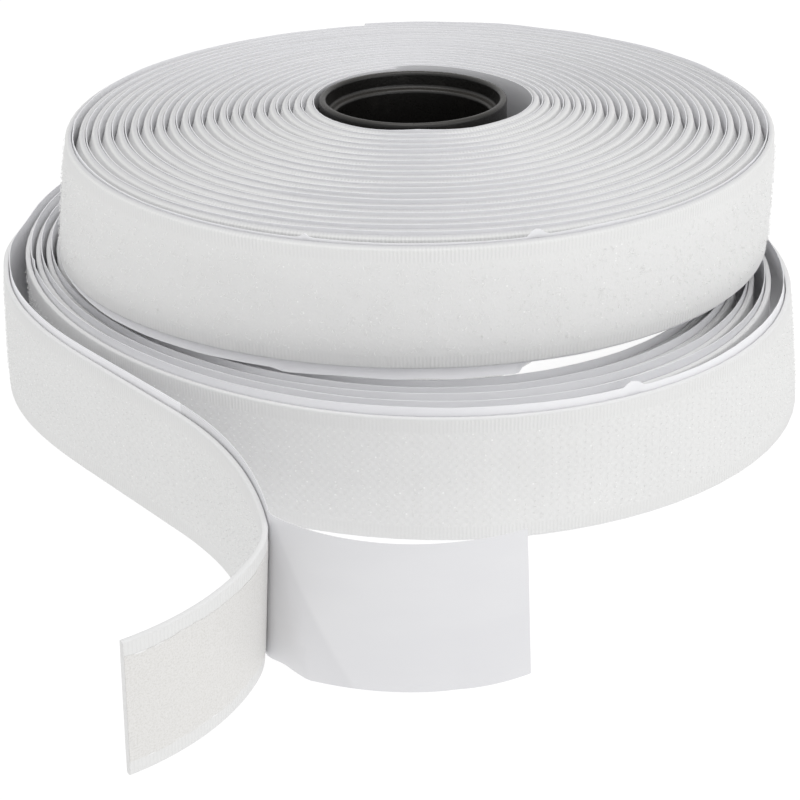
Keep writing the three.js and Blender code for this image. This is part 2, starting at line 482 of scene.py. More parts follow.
class Route:
    """A plan path for a strip that stands on edge, in metres along its length."""

    def __init__(self, points: Sequence[Vector]) -> None:
        """Measures the path.

        Args:
            points: plan points, closely spaced.
        """
        self.points = list(points)
        self.lengths = [0.0]
        for a, b in zip(self.points, self.points[1:]):
            self.lengths.append(self.lengths[-1] + (b - a).length)
        last = len(self.points) - 1
        self.lefts = []
        for i in range(last + 1):
            way = self.points[min(i + 1, last)] - self.points[max(i - 1, 0)]
            self.lefts.append(Vector((-way.y, way.x)).normalized())

    @property
    def length(self) -> float:
        """The path's whole length."""
        return self.lengths[-1]

    def at(self, distance: float) -> tuple[Vector, Vector]:
        """Finds a place on the path.

        Args:
            distance: length along the path from its start.

        Returns:
            The plan point, and the unit vector to its left.
        """
        low, high = 0, len(self.lengths) - 1
        while high - low > 1:
            middle = (low + high) // 2
            if self.lengths[middle] <= distance:
                low = middle
            else:
                high = middle
        share = (distance - self.lengths[low]) / (self.lengths[high] - self.lengths[low])
        left = self.lefts[low].lerp(self.lefts[high], share).normalized()
        return self.points[low].lerp(self.points[high], share), left

    def point(self, distance: float, height: float = 0.0) -> Vector:
        """Returns the point in space over a place on the path."""
        plan = self.at(distance)[0]
        return Vector((plan.x, plan.y, height))

    def bearing(self, distance: float, centre: Vector) -> float:
        """Returns the bearing of a place on the path from a centre, in degrees from 0 to 360."""
        arm = self.at(distance)[0] - centre
        return math.degrees(math.atan2(arm.y, arm.x)) % 360


def ahead(point: Vector, heading: float, distance: float) -> Vector:
    """Returns the plan point at a distance along a heading."""
    return point + distance * Vector((math.cos(heading), math.sin(heading)))


def smooth(value: float, low: float, high: float) -> float:
    """Returns a smooth step from 0 at low to 1 at high."""
    share = min(max((value - low) / (high - low), 0.0), 1.0)
    return share * share * (3 - 2 * share)


def near(bearing: float, middle: float, power: float) -> float:
    """Returns 1 at a bearing in degrees, falling to 0 a quarter turn away."""
    return max(0.0, math.cos(math.radians(bearing - middle))) ** power


def along(keys: Keys, value: float) -> float:
    """Reads a line of straight pieces.

    Args:
        keys: the corners, each a place and its value, in order.
        value: the place.

    Returns:
        The line's value there.
    """
    if value <= keys[0][0]:
        return keys[0][1]
    for (a, low), (b, high) in zip(keys, keys[1:]):
        if value <= b:
            return low + (high - low) * (value - a) / (b - a)
    return keys[-1][1]


def wander(distance: float, reach: float, seed: float) -> float:
    """Returns a smooth random number between -1 and 1 that changes along a strip."""
    return noise.noise(Vector((distance / reach, seed, 0.0)))


@dataclass(frozen=True)
class Drift:
    """Random wander along a strip: its size, how far it takes to change, and its row of the noise."""

    size: float
    reach: float
    seed: float

    def at(self, distance: float, side: float = 1.0) -> float:
        """Returns the drift at a length along the strip, on one of its sides."""
        return self.size * wander(distance, self.reach, side * self.seed)


def runs(
    start: Vector, heading: float, steps: Sequence[tuple[float, float]], pace: float = 0.6 * MM,
) -> tuple[list[Vector], float]:
    """Follows runs of even curvature.

    Args:
        start: plan point of the start.
        heading: direction of the start, in radians.
        steps: each run's length in metres and its turn to the left in degrees.
        pace: about how far apart the points lie.

    Returns:
        The points, and the heading at the end.
    """
    points = [start]
    for length, turn in steps:
        count = max(2, round(length / pace))
        bend = math.radians(turn) / count
        for _ in range(count):
            points.append(ahead(points[-1], heading + bend / 2, length / count))
            heading += bend
    return points, heading


@dataclass(frozen=True)
class HookPath:
    """Routes of the hook tape and its liner, and the lengths where they leave the roll and each other."""

    tape: Route
    liner: Route
    left_roll: float
    peel: float
    turn: float


@dataclass(frozen=True)
class Winding:
    """Plan of both windings and of the free end, matching the solids."""

    axis: Vector
    start_radius: float = 17.0 * MM
    steps: int = 96
    loop_turns: int = 20
    loop_pitch: float = 2.01 * MM
    loop_drift: tuple[float, float] = (0.6 * MM, -10.2 * MM)
    loop_oval: float = 1.3 * MM
    loop_bearing: float = math.radians(100)
    tongue: float = 2.7 * MM
    tongue_bearing: float = 4.0
    tongue_power: float = 4
    tongue_turns: float = 7.0
    tight_turns: int = 4
    tight_pitch: float = 1.88 * MM
    loose_turns: float = 5.5
    loose_pitch: float = 2.25 * MM
    opening: float = 0.45
    spring_back: float = 31.0 * MM
    slump: tuple[float, float] = (-5.6 * MM, -8.6 * MM)
    fan: float = 0.5 * MM
    oval: float = 4.2 * MM
    oval_bearing: float = math.radians(-50)
    end_bearing: float = math.radians(169)
    end_step: float = 1 / 24
    lead_runs: tuple = ((61.6 * MM, 45.2), (23.5 * MM, 0), (34.5 * MM, -29.1))
    tape_end_runs: tuple = ((7.9 * MM, -26.8), (25.6 * MM, -40.4))
    liner_end_runs: tuple = ((2.2 * MM, 36), (2.7 * MM, 5), (32.9 * MM, 68.6))
    seat_gap: float = 0.3 * MM

    @property
    def hook_turns(self) -> float:
        """Turns of the hook roll."""
        return self.tight_turns + self.loose_turns

    @property
    def loop_centre(self) -> Vector:
        """Plan centre of the loop roll's outer turn."""
        return self.axis + Vector(self.loop_drift)

    def loop_point(self, turns: float) -> Vector:
        """Finds a place on the loop roll, whose first turns are pushed out by the tape's inner end.

        Args:
            turns: turns from the inner end.

        Returns:
            The plan point.
        """
        sag = turns / self.loop_turns
        bearing = self.loop_bearing + turns * math.tau
        push = self.tongue * max(0.0, 1 - turns / self.tongue_turns)
        push *= near(math.degrees(bearing), self.tongue_bearing, self.tongue_power)
        radius = self.start_radius + self.loop_pitch * turns + self.loop_oval * sag * math.cos(2 * bearing)
        return ahead(self.axis + Vector(self.loop_drift) * sag, bearing, radius + push)

    def hook_point(self, turns: float) -> Vector:
        """Finds a place on the hook roll, which is tight at first and then loose.

        Args:
            turns: turns from the inner end.

        Returns:
            The plan point.
        """
        loose = max(turns - self.tight_turns, 0.0)
        opened = smooth(loose, 0, self.opening)
        bearing = self.end_bearing + (turns - self.hook_turns) * math.tau
        radius = self.start_radius + self.tight_pitch * (turns - loose) + self.loose_pitch * loose
        radius += opened * (self.spring_back - self.loose_pitch)
        radius += opened * self.oval * math.cos(2 * (bearing - self.oval_bearing))
        slid = Vector((self.slump[0] + self.fan * loose, self.slump[1]))
        return ahead(self.axis + opened * slid, bearing, radius)

    def wound(self, turns: float, place: Place) -> list[Vector]:
        """Returns the points of a winding."""
        return [place(i / self.steps) for i in range(round(turns * self.steps) + 1)]

    def loop_route(self) -> Route:
        """Returns the loop roll's route."""
        return Route(self.wound(self.loop_turns, self.loop_point))

    def hook_path(self) -> HookPath:
        """Lays out the hook tape and its liner from the core to their cut ends.

        Returns:
            Both routes, the lengths at the roll's end and at the peel line, and the last turn's length.
        """
        coil = self.wound(self.hook_turns, self.hook_point)
        before, after = (self.hook_point(self.hook_turns + side * self.end_step) for side in (-1, 1))
        heading = math.atan2(after.y - before.y, after.x - before.x)
        lead, heading = runs(ahead(coil[-1], heading, self.seat_gap), heading, self.lead_runs)
        past = ahead(lead[-1], heading, self.seat_gap)
        shared = coil + lead
        tape = Route(shared + runs(past, heading, self.tape_end_runs)[0])
        liner = Route(shared + runs(past, heading, self.liner_end_runs)[0])
        left_roll = tape.lengths[len(coil)]
        turn = left_roll - tape.lengths[round(self.steps * (self.hook_turns - 1))]
        return HookPath(tape, liner, left_roll, tape.lengths[len(shared) - 1], turn)


# Building


def make_object(
    name: str, bm: bmesh.types.BMesh, materials: Sequence[bpy.types.Material], crisp: float = 50.0,
) -> bpy.types.Object:
    """Turns a finished bmesh into a smooth-shaded object at the origin.

    Args:
        name: the piece's name.
        bm: its shape, which is freed.
        materials: its materials.
        crisp: angle in degrees from which an edge stays sharp.

    Returns:
        The new object.
    """
    mesh = bpy.data.meshes.new(name)
    bm.to_mesh(mesh)
    bm.free()
    for material in materials:
        mesh.materials.append(material)
    mesh.polygons.foreach_set("use_smooth", [True] * len(mesh.polygons))
    mesh.set_sharp_from_angle(angle=math.radians(crisp))
    piece = bpy.data.objects.new(name, mesh)
    bpy.context.scene.collection.objects.link(piece)
    LOG.info("%s: %d faces", name, len(mesh.polygons))
    return piece


def still(_distance: float, _height: float) -> Shift:
    """Returns no wave."""
    return 0.0, 0.0


def even(_distance: float, _height: float) -> float:
    """Returns no swelling."""
    return 1.0


@dataclass(frozen=True)
class Section:
    """Cross-section of a strip: points of offset to the left and height, worked side first."""

    worked: Keys
    back: Keys

    @property
    def loop(self) -> Keys:
        """The closed outline, with its first point repeated."""
        return self.worked + self.back + self.worked[:1]

    def side(self, index: int) -> Side:
        """Returns the side that a segment of the outline belongs to."""
        return Side.BACK if len(self.worked) <= index < len(self.loop) - 2 else Side.WORKED


@dataclass(frozen=True)
class Strip:
    """A strip standing on edge along part of a route, with closer steps on its last stretch.

    Its wave shifts and lifts each point, and its swell thickens the worked side.
    """

    name: str
    route: Route
    start: float
    end: float
    base: float
    section: Section
    step: float = 2.4 * MM
    wave: Wave = still
    swell: Swell = even
    fine_length: float = 0.0
    fine_step: float = 0.7 * MM
    weld: float = 1e-7

    def build(self, materials: Sequence[bpy.types.Material]) -> bpy.types.Object:
        """Builds the strip from a grid that is rolled round the section and laid along the route.

        Args:
            materials: one for the worked side and one for the back.

        Returns:
            The new object.
        """
        outline = self.section.loop
        stations = [(d, *self.route.at(d)) for d in self.distances()]
        columns, rows = len(stations) - 1, len(outline) - 1
        bm = bmesh.new()
        bmesh.ops.create_grid(bm, x_segments=columns, y_segments=rows, size=0.5)
        uv = bm.loops.layers.uv.new(UV_NAME)
        for face in bm.faces:
            row = min(int((face.calc_center_median().y + 0.5) * rows), rows - 1)
            face.material_index = self.section.side(row).value
            for corner in face.loops:
                column = round((corner.vert.co.x + 0.5) * columns)
                height = outline[round((corner.vert.co.y + 0.5) * rows)][1]
                corner[uv].uv = (stations[column][0] / MM, height / MM)
        for vert in bm.verts:
            distance, plan, left = stations[round((vert.co.x + 0.5) * columns)]
            offset, height = outline[round((vert.co.y + 0.5) * rows)]
            shift, rise = self.wave(distance, self.base + height)
            puff = self.swell(distance, height) if offset < 0 else 1.0
            spot = plan + left * (offset * puff + shift)
            vert.co = Vector((spot.x, spot.y, self.base + height + rise))
        bmesh.ops.remove_doubles(bm, verts=bm.verts[:], dist=self.weld)
        bmesh.ops.holes_fill(bm, edges=[e for e in bm.edges if e.is_boundary], sides=0)
        bmesh.ops.recalc_face_normals(bm, faces=bm.faces[:])
        return make_object(self.name, bm, materials)

    def distances(self) -> list[float]:
        """Spaces out the stations where the section is laid.

        Returns:
            Their lengths along the route.
        """
        change = max(self.start, self.end - self.fine_length)
        places = [self.start]
        for start, end, step in ((self.start, change, self.step), (change, self.end, self.fine_step)):
            count = round((end - start) / step)
            places += [start + (end - start) * (i + 1) / count for i in range(count)]
        return places


@dataclass(frozen=True)
class Tuft:
    """One bent yarn that stands on the tape: a thin tube along a few plane points."""

    path: Keys
    radius: float
    sides: int = 3

    def mesh(self) -> bpy.types.Mesh:
        """Builds the yarn at the origin, standing along Z and bent along X.

        Returns:
            A mesh with a few dozen faces.
        """
        bm = bmesh.new()
        bmesh.ops.create_circle(bm, cap_ends=True, segments=self.sides, radius=self.radius)
        tip = bm.faces[:]
        here, lean = Vector((0, 0, 0)), 0.0
        for x, z in self.path:
            goal = Vector((x, 0, z))
            pitch = math.atan2(goal.x - here.x, goal.z - here.z)
            grown = bmesh.ops.extrude_face_region(bm, geom=tip)["geom"]
            tip = [f for f in grown if isinstance(f, bmesh.types.BMFace)]
            verts = list({v for f in tip for v in f.verts})
            bmesh.ops.translate(bm, verts=verts, vec=goal - here)
            turn = Matrix.Rotation(pitch - lean, 3, "Y")
            bmesh.ops.rotate(bm, verts=verts, cent=goal, matrix=turn)
            here, lean = goal, pitch
        bmesh.ops.recalc_face_normals(bm, faces=bm.faces[:])
        mesh = bpy.data.meshes.new("yarn")
        bm.to_mesh(mesh)
        bm.free()
        return mesh


def plant(name: str, tuft: Tuft, places: Sequence[Matrix], material: bpy.types.Material) -> bpy.types.Object:
    """Sets copies of a yarn on a tape.

    Args:
        name: the piece's name.
        tuft: the yarn.
        places: where each copy stands.
        material: its finish.

    Returns:
        One object with all the copies.
    """
    single = tuft.mesh()
    shape = [v.co.copy() for v in single.vertices]
    bm = bmesh.new()
    for place in places:
        for vert, co in zip(single.vertices, shape):
            vert.co = place @ co
        bm.from_mesh(single)
    bpy.data.meshes.remove(single)
    return make_object(name, bm, [material])


def stand(route: Route, distance: float, offset: float, height: float, spin: float, size: float) -> Matrix:
    """Places a yarn that stands out to the right of a route.

    Args:
        route: the tape's route.
        distance: length along it.
        offset: offset of the yarn's foot, to the left.
        height: height of the foot.
        spin: turn about its own axis, in radians.
        size: scale.

    Returns:
        The yarn's placing.
    """
    plan, left = route.at(distance)
    foot = plan + left * offset
    out = Vector((-left.x, -left.y, 0))
    up = Vector((0, 0, 1))
    basis = Matrix((out.cross(up), up, out)).transposed().to_4x4()
    turned = basis @ Matrix.Rotation(spin, 4, "Z") @ Matrix.Scale(size, 4)
    return Matrix.Translation((foot.x, foot.y, height)) @ turned


LOOP_ARCH = Tuft((
    (0.03 * MM, 0.12 * MM), (0.12 * MM, 0.2 * MM), (0.24 * MM, 0.2 * MM), (0.33 * MM, 0.1 * MM),
    (0.36 * MM, -0.02 * MM),
), 0.026 * MM)
HOOK_BEND = Tuft((
    (0.0, 0.14 * MM), (0.06 * MM, 0.24 * MM), (0.16 * MM, 0.28 * MM), (0.25 * MM, 0.22 * MM),
    (0.28 * MM, 0.14 * MM),
), 0.055 * MM)


# Sub-assemblies


@dataclass(frozen=True)
class Tape:
    """Layer sizes shared by both tapes, as offsets to the left of the laminate's middle."""

    width: float = 20 * MM
    overhang: float = 1.4 * MM
    margin: float = 0.2 * MM
    back: float = 0.40 * MM
    coat_back: float = 0.48 * MM
    coat_margin: float = 2.1 * MM
    liner_front: float = 0.52 * MM
    liner_back: float = 0.65 * MM
    selvedge: float = 2.3 * MM
    rounding: float = 0.22 * MM
    shoulder: float = 0.3 * MM
    coat_gap: float = 0.005 * MM
    head_start: float = 0.75
    foot_end: float = 0.3

    @property
    def liner_width(self) -> float:
        """Width of the liner."""
        return self.width + self.overhang + self.margin

    def edges(self, height: float) -> tuple[float, float]:
        """Returns how far a height on the liner belongs to its upper and to its lower edge."""
        width = self.liner_width
        return smooth(height, self.head_start * width, width), smooth(height, self.foot_end * width, 0.0)

    def section(self, field: float, rim: float, slope: float = 0.0) -> Section:
        """Draws the tape's section.

        Args:
            field: offset of the worked field.
            rim: offset of the selvedges.
            slope: how far the upper edge falls towards the worked side.

        Returns:
            A section with rounded edges, bare selvedges and a raised field.
        """
        w, s, r, rise = self.width, self.selvedge, self.rounding, self.shoulder
        edge = ((rim + r, 0.0), (rim + 0.3 * r, 0.3 * r), (rim, r), (rim, s - rise), (field, s + rise))
        high = tuple((offset, w - slope - height) for offset, height in reversed(edge))
        back_edge = ((self.back - r, 0.0), (self.back - 0.3 * r, 0.3 * r), (self.back, r))
        back_high = tuple((offset, w - height) for offset, height in back_edge)
        middle = tuple((field, share * w) for share in (0.3, 0.5, 0.7))
        return Section(edge + middle + high, back_high + ((self.back, 0.5 * w),) + back_edge[::-1])

    def film(self) -> Section:
        """Draws the liner's section.

        Returns:
            A thin section with close-set points at its edges, so that they can ripple.
        """
        w = self.liner_width
        low = (0.0, 0.6 * MM, 1.4 * MM, 2.4 * MM, 5 * MM)
        heights = low + (0.5 * w,) + tuple(w - h for h in reversed(low))
        worked = tuple((self.liner_front, h) for h in heights)
        back = tuple((self.liner_back, h) for h in reversed(heights))
        return Section(worked, back)

    def coat(self) -> Section:
        """Draws the adhesive's section.

        Returns:
            A thin section inside the bare selvedges.
        """
        low, high = self.coat_margin, self.width - self.coat_margin
        front, back = self.back + self.coat_gap, self.coat_back
        return Section(((front, low), (front, high)), ((back, high), (back, 0.5 * self.width), (back, low)))


@dataclass(frozen=True)
class Core:
    """Moulded tube that a tape is wound on."""

    name: str
    node: str
    bore: float = 13.2 * MM
    ledge: float = 14.7 * MM
    outer: float = 16.0 * MM
    rim: float = 2.2 * MM
    rounding: float = 0.6 * MM
    proud: float = 0.6 * MM
    tilt: float = 0.0
    steps: int = 144
    corner_steps: int = 5
    weld: float = 1e-6

    def build(self, material: bpy.types.Material) -> bpy.types.Object:
        """Spins the tube's section round its axis and rounds its edges.

        Args:
            material: its finish.

        Returns:
            The new object, in the place of its solid.
        """
        low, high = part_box(self.node)
        axis = (low + high) / 2
        bore, ledge, outer = self.bore, self.ledge, self.outer
        foot, top, floor, roof = low.z, high.z + self.proud, low.z + self.rim, high.z - self.rim
        outline = (
            (outer, foot), (outer, top), (ledge, top), (ledge, roof),
            (bore, roof), (bore, floor), (ledge, floor), (ledge, foot),
        )
        bm = bmesh.new()
        verts = [bm.verts.new((axis.x + r, axis.y, z)) for r, z in outline]
        bm.faces.new(verts)
        bmesh.ops.bevel(
            bm, geom=verts, offset=self.rounding, segments=self.corner_steps, profile=0.5,
            affect="VERTICES", material=-1,
        )
        bmesh.ops.delete(bm, geom=bm.faces[:], context="FACES_ONLY")
        bmesh.ops.spin(
            bm, geom=bm.edges[:] + bm.verts[:], cent=(axis.x, axis.y, 0), axis=(0, 0, 1), angle=math.tau,
            steps=self.steps, use_merge=True,
        )
        bmesh.ops.remove_doubles(bm, verts=bm.verts[:], dist=self.weld)
        bmesh.ops.rotate(bm, verts=bm.verts[:], cent=axis, matrix=Matrix.Rotation(self.tilt, 3, "X"))
        bmesh.ops.recalc_face_normals(bm, faces=bm.faces[:])
        return make_object(self.name, bm, [material])


@dataclass
class LoopRoll:
    """Upper roll: loop tape and its liner, wound evenly, with its outer turn leaning out."""

    winding: Winding
    tape: Tape
    field: float = -0.74 * MM
    rim: float = -0.58 * MM
    loops: int = 5200
    loop_span: tuple[float, float] = (0.002, 0.998)
    loop_margin: float = 0.3 * MM
    loop_root: float = 0.01 * MM
    loop_sizes: tuple[float, float] = (0.8, 1.5)
    seed: int = 11
    foot_flare: float = 2.8 * MM
    foot_bearing: float = 190.0
    foot_power: float = 4
    head_lean: float = 1.5 * MM
    head_bearing: float = 268.0
    head_power: float = 3
    lean_length: float = 50 * MM
    # Last turn of the liner, by bearing in degrees: rise of its lower and upper edges in millimetres
    lower_edge: Keys = (
        (200, 1.2), (215, 0.5), (235, 0.2), (246.8, 0.3), (247.6, 0.1), (249.0, -0.2), (252, -0.1),
        (259.5, 0.15), (266.8, -0.15), (271, 0.15), (275.8, -0.2), (280.6, 0.05), (285.4, -0.1),
        (286.6, 1.6),
    )
    upper_edge: Keys = (
        (180, 0), (182, 0.8), (184, 0.3), (186, 0.9), (189, 0), (252.3, 0), (253.2, 0.7), (254.2, 0.1),
        (261.5, 0), (286.4, 0), (287.3, 1.0), (288.4, 0.9), (289.5, 0.1), (297, 0.3), (311, 0),
    )
    slope: float = 0.35 * MM
    core_tilt: float = math.radians(-1.5)
    # Rise and sway of the liner's edges in millimetres
    slow: Drift = Drift(0.22, 45 * MM, 3.1)
    quick: Drift = Drift(0.12, 9 * MM, 7.7)
    foot_quick: Drift = Drift(0.1, 9 * MM, 7.7)
    sway: Drift = Drift(0.06, 16 * MM, 1.3)
    foot_rise: float = 0.1
    curl: float = 0.35
    sink: float = 0.4
    crest: float = 0.3
    crest_bearing: float = 270.0
    crest_power: float = 2
    puff: float = 0.85
    bare_edge: float = 0.8 * MM
    lip: float = 0.75 * MM
    tuck: float = 0.5 * MM
    tuck_band: tuple[float, float] = (0.3, 0.06)
    hem_length: float = 20 * MM

    def build(self) -> list[bpy.types.Object]:
        """Builds and dresses the roll.

        Returns:
            The tape, the liner, the pile and the core.
        """
        route = self.winding.loop_route()
        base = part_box("loop_coil")[0].z
        fabric, film = LOOP_FABRIC.material(), LIT_LINER_FILM.material()
        lean = partial(self.lean, route, base)
        turn = self.last_turn(route)
        tape = Strip(
            "loop_band", route, 0.0, route.length, base + self.tape.overhang,
            self.tape.section(self.field, self.rim, self.slope),
            wave=lean, swell=partial(self.swell, route), fine_length=turn,
        ).build([fabric, fabric])
        liner = Strip(
            "loop_backing", route, 0.0, route.length, base, self.tape.film(),
            wave=partial(self.ripple, route, base), fine_length=turn,
        ).build([film, film])
        pile = self.pile(route, base + self.tape.overhang, lean)
        for piece in (tape, liner, pile):
            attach(piece, "loop_coil")
        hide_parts("loop_coil")
        core = Core("loop_roll_core", "loop_core", tilt=self.core_tilt).build(CORE_PLASTIC.material())
        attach(core, "loop_core")
        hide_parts("loop_core")
        return [tape, liner, pile, core]

    def last_turn(self, route: Route) -> float:
        """Returns the length of the outermost turn."""
        return route.length - route.lengths[-1 - self.winding.steps]

    def lean(self, route: Route, base: float, distance: float, height: float) -> Shift:
        """Leans the outermost turn: its foot flares on one side and its head leans to the front.

        Args:
            route: the roll's route.
            base: height of the liner's lower edge.
            distance: length along the route.
            height: height of the point.

        Returns:
            The shift to the left and the rise.
        """
        start = route.length - self.last_turn(route)
        if distance <= start:
            return 0.0, 0.0
        bearing = route.bearing(distance, self.winding.loop_centre)
        share = (height - base) / self.tape.liner_width
        out = self.foot_flare * near(bearing, self.foot_bearing, self.foot_power) * (1 - share)
        out += self.head_lean * near(bearing, self.head_bearing, self.head_power) * share
        eased = smooth(distance, start, start + self.lean_length)
        return -out * eased, self.tuck * eased * smooth(share, *self.tuck_band)

    def swell(self, route: Route, distance: float, height: float) -> float:
        """Swells the pile of the inner turns, where it fills the wide gaps at the sides.

        Args:
            route: the roll's route.
            distance: length along the route.
            height: height on the tape.

        Returns:
            How many times as thick the worked side is.
        """
        start = route.length - self.last_turn(route)
        bearing = math.radians(route.bearing(distance, self.winding.loop_centre))
        inner = smooth(distance, start + self.lean_length, start)
        inner *= smooth(min(height, self.tape.width - height), self.bare_edge, self.tape.selvedge)
        return 1 + self.puff * abs(math.cos(bearing)) * inner

    def ripple(self, route: Route, base: float, distance: float, height: float) -> Shift:
        """Ripples the liner: it leans with the tape, and its edges rise and dip.

        Args:
            route: the roll's route.
            base: height of the liner's lower edge.
            distance: length along the route.
            height: height of the point.

        Returns:
            The shift to the left and the rise.
        """
        start = route.length - self.last_turn(route)
        upper, lower = self.tape.edges(height - base)
        rise = upper * (self.slow.at(distance) + self.quick.at(distance))
        rise += lower * (self.foot_rise + self.foot_quick.at(distance))
        shift = (upper + lower) * self.sway.at(distance)
        bearing = route.bearing(distance, self.winding.loop_centre)
        if distance < start:
            rise -= upper * self.sink * abs(math.cos(math.radians(bearing)))
            rise += upper * self.crest * near(bearing, self.crest_bearing, self.crest_power)
        else:
            top = along(self.upper_edge, bearing)
            rise += upper * top + lower * along(self.lower_edge, bearing)
            shift += upper * self.curl * top
        hem = self.lip * smooth(height - base, self.tape.overhang, 0.0)
        hem *= smooth(distance, start, start + self.hem_length)
        return self.lean(route, base, distance, height)[0] + shift * MM - hem, rise * MM

    def pile(self, route: Route, base: float, lean: Wave) -> bpy.types.Object:
        """Plants the brushed loops on the outermost turn.

        Args:
            route: the tape's route.
            base: height of the tape's lower edge.
            lean: the tape's lean.

        Returns:
            The pile.
        """
        draw = random.Random(self.seed)
        turn = self.last_turn(route)
        low = self.tape.selvedge + self.loop_margin
        high = self.tape.width - self.tape.selvedge - self.loop_margin
        places = []
        for _ in range(self.loops):
            distance = route.length - draw.uniform(*self.loop_span) * turn
            height = base + draw.uniform(low, high)
            offset = self.field + self.loop_root + lean(distance, height)[0]
            spin, size = draw.uniform(0, math.tau), draw.uniform(*self.loop_sizes)
            places.append(stand(route, distance, offset, height, spin, size))
        return plant("loop_pile", LOOP_ARCH, places, LOOP_YARN.material())


@dataclass
class HookRoll:
    """Lower roll: hook tape and its liner, loosened, with the free end paid off and peeled."""

    winding: Winding
    tape: Tape
    field: float = -0.50 * MM
    rim: float = -0.46 * MM
    row: float = 0.95 * MM
    row_stagger: float = 0.25
    row_jitter: float = 0.15
    column: float = 1.25 * MM
    column_jitter: float = 0.1
    hook_margin: float = 0.5 * MM
    hook_root: float = 0.02 * MM
    hook_spread: float = 0.4
    hook_sizes: tuple[float, float] = (0.65, 0.9)
    seed: int = 23
    split: float = 86 * MM
    swing_reach: float = 30 * MM
    fold_bulge: float = 2.4 * MM
    fold_reach: float = 28 * MM
    crease_head: float = 1.5
    crease_slant: float = 7.5
    side_bulge: float = 2.7 * MM
    side_bearing: float = 333.0
    side_head: float = 0.4
    side_dip: float = 1.3 * MM
    dip_bearing: float = 356.0
    side_power: float = 8
    lead_bulge: float = 2.2 * MM
    lead_head: float = 0.55
    lead_start: tuple[float, float] = (0.0, 16 * MM)
    lead_stop: tuple[float, float] = (62 * MM, 28 * MM)
    tail_lean: float = 1.3 * MM
    tail_reach: float = 24 * MM
    tail_return: float = 5 * MM
    film_lean: float = 1.4 * MM
    film_span: tuple[float, float] = (10 * MM, 34 * MM)
    coat_end: float = 0.05 * MM
    coat_step: float = 0.5 * MM
    coat_span: tuple[float, float] = (0.2, 0.4)
    # Rise and sway of the edges of the liner and the adhesive in millimetres
    slow: Drift = Drift(0.2, 50 * MM, 11.9)
    quick: Drift = Drift(0.1, 11 * MM, 5.3)
    sway: Drift = Drift(0.12, 20 * MM, 2.3)
    coat_slow: Drift = Drift(0.3, 6 * MM, 4.1)
    coat_quick: Drift = Drift(0.2, 1.3 * MM, 9.2)
    head_dip: float = 0.15
    foot_rise: float = 0.12
    curl: float = 0.3
    tape_bend: tuple[float, float] = (7 * MM, 4 * MM)
    liner_bend: tuple[float, float] = (4 * MM, 3 * MM)
    # Last turn of the liner, by bearing in degrees: rise of its upper edge in millimetres
    upper_edge: Keys = (
        (194, 0), (196.5, 0.5), (198, 0), (294.2, 0), (295.2, 0.7), (296.2, 0.5), (297, -0.3), (306, -0.2),
        (318, 0),
    )

    def build(self) -> list[bpy.types.Object]:
        """Builds and dresses the roll and its free end.

        Returns:
            All its pieces.
        """
        path = self.winding.hook_path()
        tape, liner, left_roll, turn = path.tape, path.liner, path.left_roll, path.turn
        middle = left_roll + self.split
        fabric, film, coat = HOOK_FABRIC.material(), LIT_LINER_FILM.material(), ADHESIVE.material()
        peeled = replace(PEELED_FILM, fold=path.peel / MM).material()
        section, lift = self.tape.section(self.field, self.rim), self.tape.margin
        lean, wave, coat_wave = (partial(m, path) for m in (self.lean, self.ripple, self.coat_edge))
        stretches = (
            ("hook", 0.0, left_roll, left_roll, turn),
            ("lead", left_roll, middle, middle, self.split),
            ("end", middle, tape.length, liner.length, 1.0),
        )
        made: dict[str, bpy.types.Object] = {}
        for name, start, stop, film_stop, fine in stretches:
            made[f"{name}_band"] = Strip(
                f"{name}_band", tape, start, stop, lift, section, wave=lean, fine_length=fine,
            ).build([fabric, fabric])
            made[f"{name}_backing"] = Strip(
                f"{name}_backing", liner, start, film_stop, 0.0, self.tape.film(),
                wave=wave, fine_length=fine,
            ).build([peeled if name == "end" else film] * 2)
            if name != "hook":
                made[f"{name}_coat"] = Strip(
                    f"{name}_coat", tape, start, stop - self.coat_end, lift, self.tape.coat(),
                    wave=coat_wave, fine_length=fine, fine_step=self.coat_step,
                ).build([coat, coat])
        yarn = HOOK_YARN.material()
        for name, start, stop in (
            ("hook_rows", left_roll - turn, left_roll),
            ("lead_rows", left_roll, middle),
            ("end_rows", middle, tape.length),
        ):
            made[name] = self.hooks(name, tape, start, stop, yarn, lean)
        made["hook_roll_core"] = Core("hook_roll_core", "hook_core").build(CORE_PLASTIC.material())
        self.dress(made, path)
        return list(made.values())

    def dress(self, made: dict[str, bpy.types.Object], path: HookPath) -> None:
        """Puts the roll's pieces on its body, bakes the free end's pieces where they stand and hides the
        solids that the pieces stand in for.

        Args:
            made: the pieces by name.
            path: the routes of the tape and its liner.
        """
        tape, liner, left_roll, peel = path.tape, path.liner, path.left_roll, path.peel
        for name in ("hook_band", "hook_backing", "hook_rows", "hook_roll_core"):
            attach(made[name], "hook_roll")
        away = tape.point(left_roll + self.swing_reach)
        for name in ("lead_band", "lead_backing", "lead_coat", "lead_rows"):
            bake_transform(made[name], "hook_roll", "lead", tuple(tape.point(left_roll)), tuple(away))
        before, after = tape.point(peel - self.tape_bend[0]), tape.point(peel + self.tape_bend[1])
        for name in ("end_band", "end_coat", "end_rows"):
            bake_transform(made[name])
        before, after = liner.point(peel - self.liner_bend[0]), liner.point(peel + self.liner_bend[1])
        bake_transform(made["end_backing"])
        pairs = {
            "hook_band": "hook_coil", "hook_roll_core": "hook_core", "lead_band": "lead_tape",
            "lead_coat": "lead_adhesive", "lead_backing": "lead_liner", "end_band": "peeled_tape",
            "end_coat": "peeled_adhesive", "end_backing": "peeled_liner",
        }
        for name, node in pairs.items():
            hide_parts(node)

